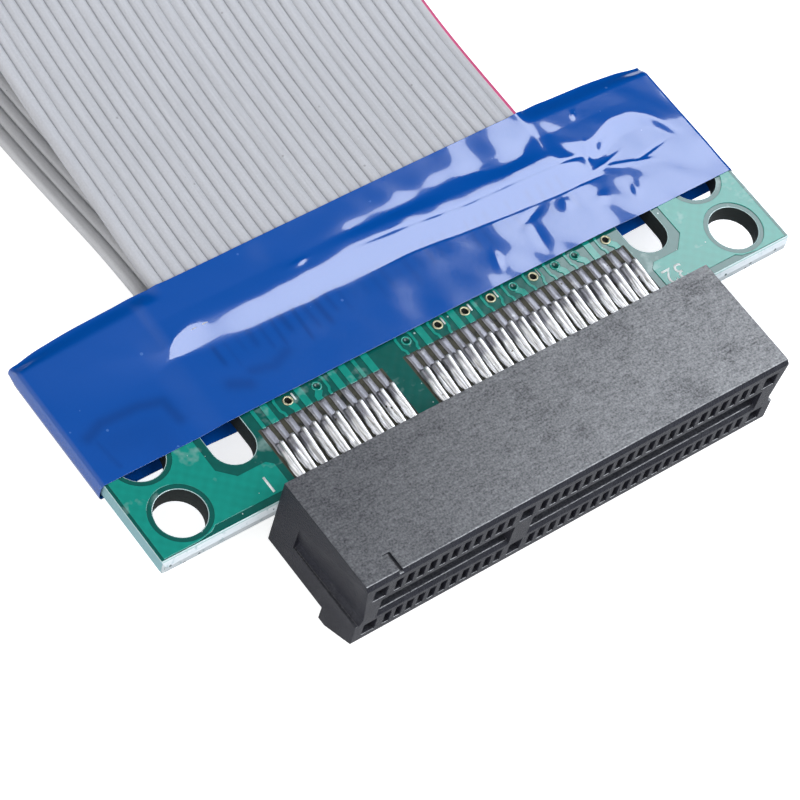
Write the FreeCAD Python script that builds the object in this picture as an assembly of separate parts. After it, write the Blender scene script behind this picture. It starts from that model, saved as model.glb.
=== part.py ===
import FreeCAD, Part
import math
import os

# Extension cable for a four-lane expansion card, lying on a table.
# X runs along the socket, Y from the socket's mating face to the plug, Z up.
# The origin is the middle of the card slot's mouth. Sizes are in millimetres.

# Contact field, shared by the socket, both boards and the card tongue
contact_pitch = 1.0
contacts_before_key = 11
contacts_after_key = 21
key_gap = 3.0
key_width = 1.9
tongue_margin = 1.1
board_thickness = 1.6

# Contacts
contact_width = 0.38
contact_thickness = 0.2
contact_clearance = 0.1
contact_beam_length = 3.2
contact_press = 0.2
contact_tip_rise = 1.05
contact_tip_length = 1.05
contact_tip_gap = 0.55
tail_length = 4.05

# Socket housing
housing_depth = 10.0
upper_wall = 0.87
lower_wall = 0.52
end_wall = 1.8
top_edge_chamfer = 0.3
slot_end_clearance = 0.1
slot_face_clearance = 0.05
slot_back_wall = 2.1
mouth_flare = 0.3
mouth_depth = 0.3
lip_thickness = 0.4
cell_height = 1.38
cell_back_wall = 1.7
cell_front_wall = 1.1
blank_cell_width = 1.15
blank_cell_depth = 3.0
blank_cell_inset = 0.85
scoop_length = 7.5
scoop_lip = 1.25
scoop_back_top = 1.35
scoop_front_depth = 0.56
scoop_back_depth = 0.36
scoop_floor_height = 0.6
lug_drop = 1.38
lug_width = 2.0
lug_length = 3.45
lug_ramp = 2.7
pin_mark_length = 1.85
pin_mark_tick = 0.35
pin_mark_width = 0.3
pin_mark_depth = 0.2

# Lands and solder on the socket board
pad_thickness = 0.05
pad_width = 0.62
pad_length = 5.48
pad_edge_gap = 0.05
solder_length = 3.6
bare_strip = 1.6

# Socket board, as wide as its lands, its relief slots and its fixing holes need
board_corner_radius = 0.45
score_depth = 0.5
score_width = 0.27
relief_slot_gap = 0.74
relief_slot_width = 3.4
relief_slot_length = 7.0
relief_slot_setback = 4.15
fixing_hole_web = 2.85
fixing_hole_diameter = 3.9
fixing_hole_margin = 1.48
fixing_hole_setback = 2.95
fixing_hole_step = 5.25

# Ribbon cables and their stripped ends
wire_pitch = 1.0
wire_count = 34
ribbon_thickness = 0.9
ribbon_overlap = 3.5
core_thickness = 0.3
core_slope_length = 1.6
core_flat_length = 3.2
lying_clearance = 0.05

# Tape
tape_thickness = 0.08
tape_overhang = 0.6
tape_hump_slope = 1.5
tape_touch_down = 2.0
tape_flat_length = 0.7

# Plug board, at the far end of the ribbons
plug_distance = 226.5
plug_board_margin = 2.5
plug_body_depth = 14.5
plug_tongue_length = 8.6
plug_bevel_depth = 1.2
plug_bevel_height = 0.4
key_notch_depth = 8.0
finger_width = 0.7
finger_length = 5.6
finger_bevel_gap = 0.3
finger_thickness = 0.05


def vector(x, y, z):
    return FreeCAD.Vector(x, y, z)


def polygon(corners):
    return Part.Face(Part.makePolygon(corners + corners[:1]))


def block(x0, x1, y0, y1, z0, z1):
    return Part.makeBox(x1 - x0, y1 - y0, z1 - z0, vector(x0, y0, z0))


def side_prism(outline, x0, x1):
    """A solid whose side view, in Y and Z, is the outline."""
    return polygon([vector(x0, y, z) for y, z in outline]).extrude(vector(x1 - x0, 0, 0))


def plan_prism(outline, z0, z1):
    """A solid whose plan, in X and Y, is the outline."""
    return polygon([vector(x, y, z0) for x, y in outline]).extrude(vector(0, 0, z1 - z0))


def section_solid(sections):
    """A flat-faced solid through X and Z sections with equally many corners, each at its own Y."""
    rings = [[vector(x, y, z) for x, z in outline] for y, outline in sections]
    faces = [polygon(rings[0]), polygon(rings[-1])]
    for near, far in zip(rings, rings[1:]):
        for i in range(len(near)):
            faces.append(polygon([near[i - 1], near[i], far[i]]))
            faces.append(polygon([near[i - 1], far[i], far[i - 1]]))
    solid = Part.Solid(Part.Shell(faces))
    solid.fix(0, 0, 0)
    return solid.removeSplitter()


def flipped(shape, level=0.0):
    """The mirror image on the lower side of a level."""
    return shape.mirror(vector(0, 0, level), vector(0, 0, 1))


def other_end(shape):
    """The mirror image at the other end of the socket."""
    return shape.mirror(vector(0, 0, 0), vector(1, 0, 0))


def row(solid, places):
    """Copies of a solid made at X = 0, one at each place along X."""
    return Part.makeCompound([solid.translated(vector(x, 0, 0)) for x in places])


def save(name, shape):
    shape.exportStep(os.path.join("parts", name + ".step"))


os.makedirs("parts", exist_ok=True)

# Places and levels that several pieces share
contact_span = (contacts_before_key + contacts_after_key - 2) * contact_pitch + key_gap
first_contact = -contact_span / 2
key_middle = first_contact + (contacts_before_key - 1) * contact_pitch + key_gap / 2
contact_places = [first_contact + i * contact_pitch for i in range(contacts_before_key)]
contact_places += [key_middle + key_gap / 2 + i * contact_pitch for i in range(contacts_after_key)]
tongue_half = contact_span / 2 + tongue_margin
board_half = board_thickness / 2
slot_half_height = board_half + slot_face_clearance
mouth_half_height = slot_half_height + mouth_flare
cell_floor = mouth_half_height + lip_thickness
cell_roof = cell_floor + cell_height
cell_back = housing_depth - cell_back_wall
housing_top = cell_roof + upper_wall
housing_bottom = -cell_roof - lower_wall
floor_level = housing_bottom - lug_drop

# Contact: a stamped strip, bent up from its tail into its cell and down to a bump in the slot
tail_bottom = board_half + pad_thickness
tail_top = tail_bottom + contact_thickness
tail_end = housing_depth + tail_length
riser_back = cell_back - contact_clearance
riser_front = riser_back - contact_thickness
beam_top = cell_roof - contact_clearance
beam_bottom = beam_top - contact_thickness
knee = riser_back - contact_beam_length
tip = cell_front_wall + contact_tip_gap
bump = tip + contact_tip_length
bump_bottom = board_half - contact_press
tip_bottom = bump_bottom + contact_tip_rise
contact_outline = [
    (tail_end, tail_bottom),
    (tail_end, tail_top),
    (riser_back, tail_top),
    (riser_back, beam_top),
    (knee, beam_top),
    (bump, bump_bottom + contact_thickness),
    (tip, tip_bottom + contact_thickness),
    (tip, tip_bottom),
    (bump, bump_bottom),
    (knee, beam_bottom),
    (riser_front, beam_bottom),
    (riser_front, tail_bottom),
]
contact = side_prism(contact_outline, -contact_width / 2, contact_width / 2)
upper_contacts = row(contact, contact_places)
save("upper_contacts", upper_contacts)
save("lower_contacts", flipped(upper_contacts))

# Socket housing: a block with its upper front edge bevelled
slot_half = tongue_half + slot_end_clearance
housing_half = slot_half + end_wall
bevel_foot = housing_top - top_edge_chamfer
housing_outline = [
    (0, housing_bottom),
    (0, bevel_foot),
    (top_edge_chamfer, housing_top),
    (housing_depth, housing_top),
    (housing_depth, housing_bottom),
]
housing = side_prism(housing_outline, -housing_half, housing_half)

# Ramped lug under each end
lug_outline = [
    (0, housing_bottom),
    (lug_ramp, floor_level),
    (lug_length, floor_level),
    (lug_length, housing_bottom),
]
lug = side_prism(lug_outline, -housing_half, -housing_half + lug_width)
housing = housing.fuse([lug, other_end(lug)])

# Card slot with a flared mouth, in two stretches with the key rib between them
slot_back = housing_depth - slot_back_wall
slot_outline = [
    (0, mouth_half_height),
    (mouth_depth, slot_half_height),
    (slot_back, slot_half_height),
    (slot_back, -slot_half_height),
    (mouth_depth, -slot_half_height),
    (0, -mouth_half_height),
]
rib_half = key_width / 2 - slot_end_clearance
slot_before_key = side_prism(slot_outline, -slot_half, key_middle - rib_half)
slot_after_key = side_prism(slot_outline, key_middle + rib_half, slot_half)

# Contact cells: open at the front, into the slot, and at the back where the tail comes out
cell_outline = [
    (0, cell_floor),
    (0, cell_roof),
    (cell_back, cell_roof),
    (cell_back, tail_top + contact_clearance),
    (housing_depth, tail_top + contact_clearance),
    (housing_depth, board_half),
    (cell_front_wall, board_half),
    (cell_front_wall, cell_floor),
]
cell_half = contact_width / 2 + contact_clearance
upper_cells = row(side_prism(cell_outline, -cell_half, cell_half), contact_places)

# Blank cells, wider and with no contact, at both ends and over the key rib
blank_half = blank_cell_width / 2
blank_cell = block(-blank_half, blank_half, 0, blank_cell_depth, cell_floor, cell_roof)
blank_place = housing_half - blank_cell_inset - blank_half
upper_blanks = row(blank_cell, [-blank_place, key_middle, blank_place])


def scoop_section(top, depth):
    """End view of the scoop in the left end wall, sloping in from its top to a sharp lower lip."""
    return [
        (-housing_half, top),
        (-housing_half + depth, scoop_floor_height - scoop_lip),
        (-housing_half + depth / 2, -scoop_lip),
        (-housing_half, -scoop_lip),
    ]


scoop = section_solid([
    (0, scoop_section(bevel_foot, scoop_front_depth)),
    (scoop_length, scoop_section(scoop_back_top, scoop_back_depth)),
])

# Pin-one mark moulded in the top: a groove from the front edge with a short tick
mark_floor = housing_top - pin_mark_depth
mark_left = first_contact - pin_mark_width / 2
mark_right = first_contact + pin_mark_width / 2
mark_line = block(mark_left, mark_right, 0, pin_mark_length, mark_floor, housing_top)
mark_tick = block(
    mark_left - pin_mark_tick, mark_left,
    pin_mark_length - pin_mark_width, pin_mark_length, mark_floor, housing_top)

housing = housing.cut([
    slot_before_key, slot_after_key, upper_cells, flipped(upper_cells), upper_blanks,
    flipped(upper_blanks), scoop, other_end(scoop), mark_line, mark_tick])
save("socket_housing", housing.removeSplitter())

# Socket board, seated against the back of the housing, with rounded front corners
tape_on_board = (
    ribbon_overlap + core_slope_length + core_flat_length + tape_touch_down + tape_flat_length)
board_front = housing_depth
pad_front = board_front + score_width + pad_edge_gap
pad_rear = pad_front + pad_length
board_rear = pad_rear + bare_strip + tape_on_board
slot_end_radius = relief_slot_width / 2
fixing_hole_radius = fixing_hole_diameter / 2
slot_x = contact_span / 2 + pad_width / 2 + relief_slot_gap + slot_end_radius
fixing_x = slot_x + slot_end_radius + fixing_hole_web + fixing_hole_radius
board_side = fixing_x + fixing_hole_radius + fixing_hole_margin
socket_board = block(-board_side, board_side, board_front, board_rear, -board_half, board_half)
front_corners = [
    edge for edge in socket_board.Edges
    if edge.Vertexes[0].Z != edge.Vertexes[-1].Z and edge.CenterOfMass.y < pad_front]
socket_board = socket_board.makeFillet(board_corner_radius, front_corners)

# V-scores along which the board was snapped off its panel: its front on both faces, its sides on the lower one
score_foot = board_half - score_depth
front_score = side_prism(
    [(board_front, score_foot), (board_front, board_half), (board_front + score_width, board_half)],
    -board_side, board_side)
side_outline = [
    (-board_side, -score_foot), (-board_side, -board_half), (-board_side + score_width, -board_half)]
side_score = section_solid([(board_front, side_outline), (board_rear, side_outline)])
socket_board = socket_board.cut([front_score, flipped(front_score), side_score, other_end(side_score)])


def board_hole(radius, x, y):
    return Part.makeCylinder(radius, board_thickness, vector(x, y, -board_half))


fixing_row = board_front + fixing_hole_setback
slot_front = board_front + relief_slot_setback + slot_end_radius
slot_rear = slot_front + relief_slot_length - relief_slot_width
right_holes = [
    board_hole(fixing_hole_radius, fixing_x, fixing_row),
    board_hole(fixing_hole_radius, fixing_x, fixing_row + fixing_hole_step),
    board_hole(slot_end_radius, slot_x, slot_front),
    board_hole(slot_end_radius, slot_x, slot_rear),
    block(
        slot_x - slot_end_radius, slot_x + slot_end_radius,
        slot_front, slot_rear, -board_half, board_half),
]
left_holes = [other_end(hole) for hole in right_holes]
save("socket_board", socket_board.cut(right_holes + left_holes).removeSplitter())

# Tinned lands under the contact tails
pad = block(-pad_width / 2, pad_width / 2, pad_front, pad_rear, board_half, tail_bottom)
upper_pads = row(pad, contact_places)
save("upper_pads", upper_pads)
save("lower_pads", flipped(upper_pads))

# Solder: a fillet along each side of every tail
fillet = polygon([
    vector(contact_width / 2, pad_front, tail_bottom),
    vector(pad_width / 2, pad_front, tail_bottom),
    vector(contact_width / 2, pad_front, tail_top),
]).extrude(vector(0, solder_length, 0))
upper_solder = Part.makeCompound(
    row(fillet, contact_places).Solids + row(other_end(fillet), contact_places).Solids)
save("upper_solder", upper_solder)
save("lower_solder", flipped(upper_solder))

# Ribbon ends: stripped wires bent down to the board's face, and the tape wound over them
wire_span = (wire_count - 1) * wire_pitch
wire_places = [i * wire_pitch - wire_span / 2 for i in range(wire_count)]
ribbon_half = wire_count * wire_pitch / 2


def wire_ends(board_edge, inward, level):
    """Bare wires on the upper face of a board, from the ribbon's cut end inward along Y."""
    cut_end = board_edge + inward * ribbon_overlap
    landing = cut_end + inward * core_slope_length
    end = landing + inward * core_flat_length
    face = level + board_half
    core_bottom = face + (ribbon_thickness - core_thickness) / 2
    outline = [
        (cut_end, core_bottom + core_thickness),
        (cut_end, core_bottom),
        (landing, face),
        (end, face),
        (end, face + core_thickness),
        (landing, face + core_thickness),
    ]
    return row(side_prism(outline, -core_thickness / 2, core_thickness / 2), wire_places)


def tape_wrap(board_edge, inward, level, side):
    """Film wound once round a board, rising over the wire ends and the ribbon on both faces."""
    cut_end = board_edge + inward * ribbon_overlap
    landing = cut_end + inward * core_slope_length
    wires_end = landing + inward * core_flat_length
    stations = [
        (board_edge - inward * tape_overhang, ribbon_thickness),
        (cut_end, ribbon_thickness),
        (landing, core_thickness),
        (wires_end, core_thickness),
        (wires_end + inward * tape_touch_down, 0.0),
        (board_edge + inward * tape_on_board, 0.0),
    ]

    def outline(hump, skin):
        flat = board_half + skin
        foot = ribbon_half + tape_hump_slope
        right = [(side + skin, flat), (foot, flat), (ribbon_half, flat + hump)]
        upper = right + [(-x, z) for x, z in reversed(right)]
        lower = [(x, -z) for x, z in reversed(upper)]
        return [(x, level + z) for x, z in upper + lower]

    outside = section_solid([(y, outline(hump, tape_thickness)) for y, hump in stations])
    inside = section_solid([(y, outline(hump, 0.0)) for y, hump in stations])
    return outside.cut(inside)


upper_wire_ends = wire_ends(board_rear, -1, 0.0)
save("upper_wire_ends", upper_wire_ends)
save("lower_wire_ends", flipped(upper_wire_ends))
save("socket_tape", tape_wrap(board_rear, -1, 0.0, board_side))

# Plug board: a body, and a card tongue with a bevelled tip and the key notch
plug_level = floor_level + tape_thickness + ribbon_thickness + board_half
plug_bottom = plug_level - board_half
plug_top = plug_level + board_half
plug_half = ribbon_half + tape_hump_slope + plug_board_margin
shoulder = plug_distance + plug_body_depth
plug_tip = shoulder + plug_tongue_length
plug_plan = [
    (-plug_half, plug_distance),
    (plug_half, plug_distance),
    (plug_half, shoulder),
    (tongue_half, shoulder),
    (tongue_half, plug_tip),
    (-tongue_half, plug_tip),
    (-tongue_half, shoulder),
    (-plug_half, shoulder),
]
notch_half = key_width / 2
notch_floor = plug_tip - key_notch_depth + notch_half
notch = block(
    key_middle - notch_half, key_middle + notch_half, notch_floor, plug_tip, plug_bottom, plug_top)
notch_end = Part.makeCylinder(
    notch_half, board_thickness, vector(key_middle, notch_floor, plug_bottom))
bevel_outline = [
    (plug_tip - plug_bevel_depth, plug_top),
    (plug_tip, plug_top),
    (plug_tip, plug_top - plug_bevel_height),
]
bevel = side_prism(bevel_outline, -tongue_half, tongue_half)
plug_board = plan_prism(plug_plan, plug_bottom, plug_top)
plug_board = plug_board.cut([notch, notch_end, bevel, flipped(bevel, plug_level)])
save("plug_board", plug_board.removeSplitter())

# Gold fingers on both faces of the tongue
finger_front = plug_tip - plug_bevel_depth - finger_bevel_gap
finger = block(
    -finger_width / 2, finger_width / 2, finger_front - finger_length, finger_front,
    plug_top, plug_top + finger_thickness)
upper_fingers = row(finger, contact_places)
save("upper_fingers", upper_fingers)
save("lower_fingers", flipped(upper_fingers, plug_level))

upper_plug_wire_ends = wire_ends(plug_distance, 1, plug_level)
save("upper_plug_wire_ends", upper_plug_wire_ends)
save("lower_plug_wire_ends", flipped(upper_plug_wire_ends, plug_level))
save("plug_tape", tape_wrap(plug_distance, 1, plug_level, plug_half))

# Ribbon routes, as Y and Z of the middle of the ribbon, from the socket board to the plug board
ribbon_start = board_rear - ribbon_overlap
ribbon_end = plug_distance + ribbon_overlap
seat = board_half + ribbon_thickness / 2
lying = floor_level + lying_clearance + ribbon_thickness / 2
stacked = lying + ribbon_thickness


def along(share):
    """Y at a share of the free span between the two boards."""
    return board_rear + share * (plug_distance - board_rear)


upper_route = [
    (ribbon_start, seat),
    (along(0.035), seat),
    (along(0.09), seat + 1.25),
    (along(0.145), seat + 3.85),
    (along(0.205), seat + 5.25),
    (along(0.27), seat + 4.65),
    (along(0.34), seat + 2.15),
    (along(0.415), seat - 0.85),
    (along(0.5), stacked + 1.4),
    (along(0.6), stacked + 0.4),
    (along(0.71), stacked + 0.45),
    (along(0.81), stacked + 0.8),
    (along(0.89), stacked + 1.3),
    (along(0.96), plug_level + seat),
    (ribbon_end, plug_level + seat),
]
lower_route = [
    (ribbon_start, -seat),
    (along(0.025), -seat),
    (along(0.07), lying + 1.6),
    (along(0.12), lying + 0.4),
    (along(0.18), lying),
    (along(0.28), lying),
    (along(0.46), lying + 0.15),
    (along(0.66), lying + 0.05),
    (along(0.81), lying + 0.1),
    (along(0.92), plug_level - seat),
    (ribbon_end, plug_level - seat),
]
arc_share = 0.45


def offset_runs(route, distance):
    """Straight runs joined by tangent arcs, a distance to the left of the route, and the bends' radii."""
    points = [vector(0, y, z) for y, z in route]
    runs = [b - a for a, b in zip(points, points[1:])]
    headings = [run / run.Length for run in runs]
    normals = [vector(0, -heading.z, heading.y) for heading in headings]
    edges = []
    radii = []
    pen = points[0] + normals[0] * distance
    for i in range(1, len(points) - 1):
        reach = arc_share * min(runs[i - 1].Length, runs[i].Length)
        radius = reach / math.tan(headings[i - 1].getAngle(headings[i]) / 2)
        inside = math.copysign(1, normals[i - 1].dot(headings[i]))
        arc_start = points[i] - headings[i - 1] * reach
        arc_end = points[i] + headings[i] * reach
        bisector = normals[i - 1] + normals[i]
        bisector = bisector / bisector.Length
        centre = arc_start + normals[i - 1] * (inside * radius)
        start = arc_start + normals[i - 1] * distance
        middle = centre - bisector * (inside * radius - distance)
        end = arc_end + normals[i] * distance
        edges.append(Part.LineSegment(pen, start).toShape())
        edges.append(Part.Arc(start, middle, end).toShape())
        radii.append(radius)
        pen = end
    edges.append(Part.LineSegment(pen, points[-1] + normals[-1] * distance).toShape())
    return edges, radii


def ribbon(name, route):
    """A flat cable along a route, with its bends, its length and its volume printed."""
    above = offset_runs(route, ribbon_thickness / 2)[0]
    below = offset_runs(route, -ribbon_thickness / 2)[0]
    first_cut = Part.LineSegment(below[0].Vertexes[0].Point, above[0].Vertexes[0].Point)
    last_cut = Part.LineSegment(above[-1].Vertexes[-1].Point, below[-1].Vertexes[-1].Point)
    outline = Part.Wire(above + [last_cut.toShape()] + below[::-1] + [first_cut.toShape()])
    solid = Part.Face(outline).extrude(vector(2 * ribbon_half, 0, 0))
    save(name, solid.translated(vector(-ribbon_half, 0, 0)))
    middle_edges, radii = offset_runs(route, 0.0)
    length = sum(edge.Length for edge in middle_edges)
    section = 2 * ribbon_half * ribbon_thickness
    print(name, "bend radii", [round(radius) for radius in radii])
    print(name, "length", round(length, 2), "volume share", round(solid.Volume / (section * length), 5))


ribbon("upper_ribbon", upper_route)
ribbon("lower_ribbon", lower_route)
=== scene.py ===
import math

import bpy
import numpy as np
from mathutils import Matrix, Quaternion, Vector, noise
from mathutils.geometry import tessellate_polygon


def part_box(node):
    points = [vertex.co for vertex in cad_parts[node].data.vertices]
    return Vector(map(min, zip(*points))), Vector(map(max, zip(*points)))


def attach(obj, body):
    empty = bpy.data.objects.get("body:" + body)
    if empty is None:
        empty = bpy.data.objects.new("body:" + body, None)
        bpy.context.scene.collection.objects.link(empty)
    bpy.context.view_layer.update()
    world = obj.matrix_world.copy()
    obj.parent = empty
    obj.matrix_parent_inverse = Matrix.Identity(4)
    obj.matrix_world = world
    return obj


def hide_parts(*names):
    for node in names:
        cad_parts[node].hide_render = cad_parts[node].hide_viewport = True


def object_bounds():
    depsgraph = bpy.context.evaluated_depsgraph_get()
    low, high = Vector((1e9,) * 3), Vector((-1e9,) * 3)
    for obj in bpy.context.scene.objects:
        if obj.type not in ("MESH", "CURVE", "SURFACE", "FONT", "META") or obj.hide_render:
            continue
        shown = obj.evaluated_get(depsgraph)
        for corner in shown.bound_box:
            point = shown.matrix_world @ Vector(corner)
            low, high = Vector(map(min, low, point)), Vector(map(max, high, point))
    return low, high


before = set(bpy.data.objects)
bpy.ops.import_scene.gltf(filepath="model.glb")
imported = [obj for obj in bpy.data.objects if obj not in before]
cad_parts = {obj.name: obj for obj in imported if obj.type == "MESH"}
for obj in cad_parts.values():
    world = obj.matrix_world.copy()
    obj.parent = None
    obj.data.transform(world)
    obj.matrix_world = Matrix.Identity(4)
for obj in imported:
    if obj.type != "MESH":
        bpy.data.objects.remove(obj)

cad_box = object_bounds()

# Table, camera and light: a white table top that the cable lies on, seen through a long lens from above
# the key end of the socket. One large soft box hangs to the right of the board, where level film and
# lacquer mirror it. A smaller one behind the camera and the pale room fill the shade.
MM = 0.001
camera_place = Vector((-123.46, -78.14, 205.62)) * MM
camera_aim = Vector((-5.99, 13.3, 0.0)) * MM
camera_roll = math.radians(18.86)
camera_lens = 158.4
key_place = Vector((403, -133, 450)) * MM
key_turn = Quaternion((0, 0, 1), math.radians(-28.7))
key_size = (520 * MM, 680 * MM)
key_power = 4.4
key_colour = (0.93, 0.98, 1.05)
fill_place = Vector((-480, -150, 400)) * MM
fill_size = (520 * MM, 520 * MM)
fill_power = 1.9
room_light = 0.3
room_lean = (-0.33, -0.25, 0.0)
table_size = 4.0
table_white = (0.8, 0.8, 0.8, 1)
table_glow = 0.74
table_mirrored_glow = 0.2


def place(name, data):
    """A new object in the scene, at the origin."""
    made = bpy.data.objects.new(name, data)
    bpy.context.scene.collection.objects.link(made)
    return made


def soft_box(name, spot, turn, size, power, colour=(1, 1, 1)):
    """A rectangular lamp that shines along its own downward axis."""
    lamp = place(name, bpy.data.lights.new(name, "AREA"))
    lamp.data.shape = "RECTANGLE"
    lamp.data.size, lamp.data.size_y = size
    lamp.data.energy = power
    lamp.data.color = colour
    lamp.location = spot
    lamp.rotation_mode = "QUATERNION"
    lamp.rotation_quaternion = turn


def add(tree, kind, inputs, **settings):
    """A node with its settings, and with its inputs set or linked by name or number."""
    made = tree.nodes.new(kind)
    for name, value in settings.items():
        setattr(made, name, value)
    for socket, value in inputs.items():
        if isinstance(value, bpy.types.NodeSocket):
            tree.links.new(value, made.inputs[socket])
        else:
            made.inputs[socket].default_value = value
    return made


def after(kind, inputs, **settings):
    """A node in the same tree as the outputs that it takes in."""
    tree = next(value.id_data for value in inputs.values() if isinstance(value, bpy.types.NodeSocket))
    return add(tree, kind, inputs, **settings)


def calc(operation, *values):
    """The result of one sum on numbers and the outputs of other nodes."""
    return after("ShaderNodeMath", dict(enumerate(values)), operation=operation).outputs[0]


def where(tree, kind):
    """Texture coordinates of one kind: Object, Generated or Normal."""
    return add(tree, "ShaderNodeTexCoord", {}).outputs[kind]


def surface(name, sockets):
    """A material and its node tree, with constant values on the sockets of its Principled BSDF."""
    made = bpy.data.materials.new(name)
    made.use_nodes = True
    for socket, value in sockets.items():
        made.node_tree.nodes["Principled BSDF"].inputs[socket].default_value = value
    return made, made.node_tree


camera = place("camera", bpy.data.cameras.new("camera"))
camera.data.lens = camera_lens
camera.location = camera_place
camera.rotation_mode = "QUATERNION"
camera_look = (camera_aim - camera_place).to_track_quat("-Z", "Y")
camera.rotation_quaternion = camera_look @ Quaternion((0, 0, 1), camera_roll)
bpy.context.scene.camera = camera

soft_box("key_light", key_place, key_turn, key_size, key_power, key_colour)
fill_turn = (-fill_place).to_track_quat("-Z", "Y")
soft_box("fill_light", fill_place, fill_turn, fill_size, fill_power)

room = bpy.data.worlds.new("room")
room.use_nodes = True
tree = room.node_tree
room_seen = add(tree, "ShaderNodeLightPath", {}).outputs["Is Camera Ray"]
room_side = add(
    tree, "ShaderNodeVectorMath", {0: where(tree, "Generated"), 1: room_lean}, operation="DOT_PRODUCT")
room_wall = calc("MAXIMUM", calc("ADD", room_side.outputs["Value"], room_light), 0.0)
tree.nodes["Background"].inputs["Color"].default_value = (1, 1, 1, 1)
tree.links.new(calc("MAXIMUM", room_seen, room_wall), tree.nodes["Background"].inputs["Strength"])
bpy.context.scene.world = room
bpy.context.scene.view_settings.view_transform = "Standard"

table_mesh = bpy.data.meshes.new("table")
table_corners = [(-1, -1), (1, -1), (1, 1), (-1, 1)]
table_mesh.from_pydata(
    [(x * table_size / 2, y * table_size / 2, cad_box[0].z) for x, y in table_corners], [], [(0, 1, 2, 3)])
table = place("table", table_mesh)
paper, tree = surface("table_paper", {"Base Color": table_white, "Roughness": 0.9})
paper_ray = add(tree, "ShaderNodeLightPath", {}).outputs
paper_mirrored = calc("MAXIMUM", paper_ray["Is Glossy Ray"], paper_ray["Is Transmission Ray"])
paper_seen = calc("MULTIPLY", paper_ray["Is Camera Ray"], table_glow)
paper_glow = calc("MULTIPLY_ADD", paper_mirrored, table_mirrored_glow, paper_seen)
paper_light = add(tree, "ShaderNodeEmission", {"Strength": paper_glow})
paper_sum = add(tree, "ShaderNodeAddShader", {
    0: tree.nodes["Principled BSDF"].outputs[0], 1: paper_light.outputs[0]})
tree.links.new(paper_sum.outputs[0], tree.nodes["Material Output"].inputs["Surface"])
table.data.materials.append(paper)

# Socket housing: one black moulding with two rows of contact cells over and under the card slot. Its
# mould was spark-finished, so the faces are matt with a fine grain, and its edges are slightly broken.
edge_break = 0.07 * MM
edge_angle = math.radians(35)
weld_reach = 0.002 * MM
fleck_reach = 0.35
bloom_sharpness = 5.0
plastic_black = (0.018, 0.019, 0.028, 1)
plastic_fleck = (0.05, 0.051, 0.056, 1)
plastic_bloom = (0.034, 0.035, 0.044, 1)
plastic_relief = 0.12 * MM
rub_scale = 6500.0
rub_drawn = (0.22, 1.0, 1.0)


def feed(sockets):
    """Links outputs to the sockets of their material's Principled BSDF."""
    for socket, output in sockets.items():
        tree = output.id_data
        tree.links.new(output, tree.nodes["Principled BSDF"].inputs[socket])


def mix(share, first, second):
    """A colour between two colours."""
    return after("ShaderNodeMix", {0: share, 6: first, 7: second}, data_type="RGBA").outputs[2]


def tone(colour, value):
    """A colour that is lighter or darker by a factor."""
    return after("ShaderNodeHueSaturation", {"Color": colour, "Value": value}).outputs[0]


def split(tree, kind):
    """The X, Y and Z of texture coordinates."""
    return add(tree, "ShaderNodeSeparateXYZ", {0: where(tree, kind)}).outputs


def clouds(tree, scale, detail, rough, factors=(1.0, 1.0, 1.0)):
    """Noise from 0 to 1 over a piece, whose coordinates are first multiplied by factors."""
    spot = add(tree, "ShaderNodeVectorMath", {0: where(tree, "Object"), 1: factors}, operation="MULTIPLY")
    return add(tree, "ShaderNodeTexNoise", {
        "Vector": spot.outputs[0], "Scale": scale, "Detail": detail, "Roughness": rough}).outputs[0]


def effect(name, inputs, outputs):
    """An empty node group with named inputs and outputs, and what its inputs give."""
    group = bpy.data.node_groups.new(name, "ShaderNodeTree")
    for direction, sockets in (("INPUT", inputs), ("OUTPUT", outputs)):
        for socket in sockets:
            kind = "NodeSocketColor" if socket.endswith("Color") else "NodeSocketFloat"
            group.interface.new_socket(socket, in_out=direction, socket_type=kind)
    return group, add(group, "NodeGroupInput", {}).outputs


def grain_effect():
    """A colour mottled at one scale, and a fine height for a bump."""
    group, given = effect("grain", ["Color", "Grain Size", "Contrast"], ["Color", "Height"])
    fine = clouds(group, calc("DIVIDE", 1.0, given["Grain Size"]), 3.0, 0.6)
    swing = calc("MULTIPLY", calc("SUBTRACT", fine, 0.5), given["Contrast"])
    after("NodeGroupOutput", {
        "Color": tone(given["Color"], calc("ADD", swing, 1.0)), "Height": fine})
    return group


def speck_effect():
    """Small flecks of another colour scattered over a colour, and a mask of them."""
    group, given = effect("specks", ["Color", "Fleck Color", "Spacing", "Share"], ["Color", "Mask"])
    cells = add(group, "ShaderNodeTexVoronoi", {
        "Vector": where(group, "Object"), "Scale": calc("DIVIDE", 1.0, given["Spacing"])}).outputs
    pick = add(group, "ShaderNodeSeparateColor", {0: cells["Color"]}).outputs
    chosen = calc("LESS_THAN", pick[0], given["Share"])
    near = calc("LESS_THAN", cells["Distance"], calc("MULTIPLY", pick[1], fleck_reach))
    mask = calc("MULTIPLY", chosen, near)
    after("NodeGroupOutput", {
        "Color": mix(mask, given["Color"], given["Fleck Color"]), "Mask": mask})
    return group


def bloom_effect():
    """Soft uneven patches of another colour over a colour, and a mask of them."""
    group, given = effect("bloom", ["Color", "Bloom Color", "Patch Size", "Share"], ["Color", "Mask"])
    cloud = clouds(group, calc("DIVIDE", 1.0, given["Patch Size"]), 3.0, 0.6)
    edge = calc("MULTIPLY_ADD", given["Share"], -0.5, 0.75)
    mask = calc("MULTIPLY", calc("SUBTRACT", cloud, edge), bloom_sharpness)
    mask = calc("MINIMUM", calc("MAXIMUM", mask, 0.0), 1.0)
    after("NodeGroupOutput", {
        "Color": mix(mask, given["Color"], given["Bloom Color"]), "Mask": mask})
    return group


grain = grain_effect()
specks = speck_effect()
bloom = bloom_effect()


def use(tree, group, inputs):
    """A shared effect placed in a material."""
    return add(tree, "ShaderNodeGroup", inputs, node_tree=group).outputs


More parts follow.
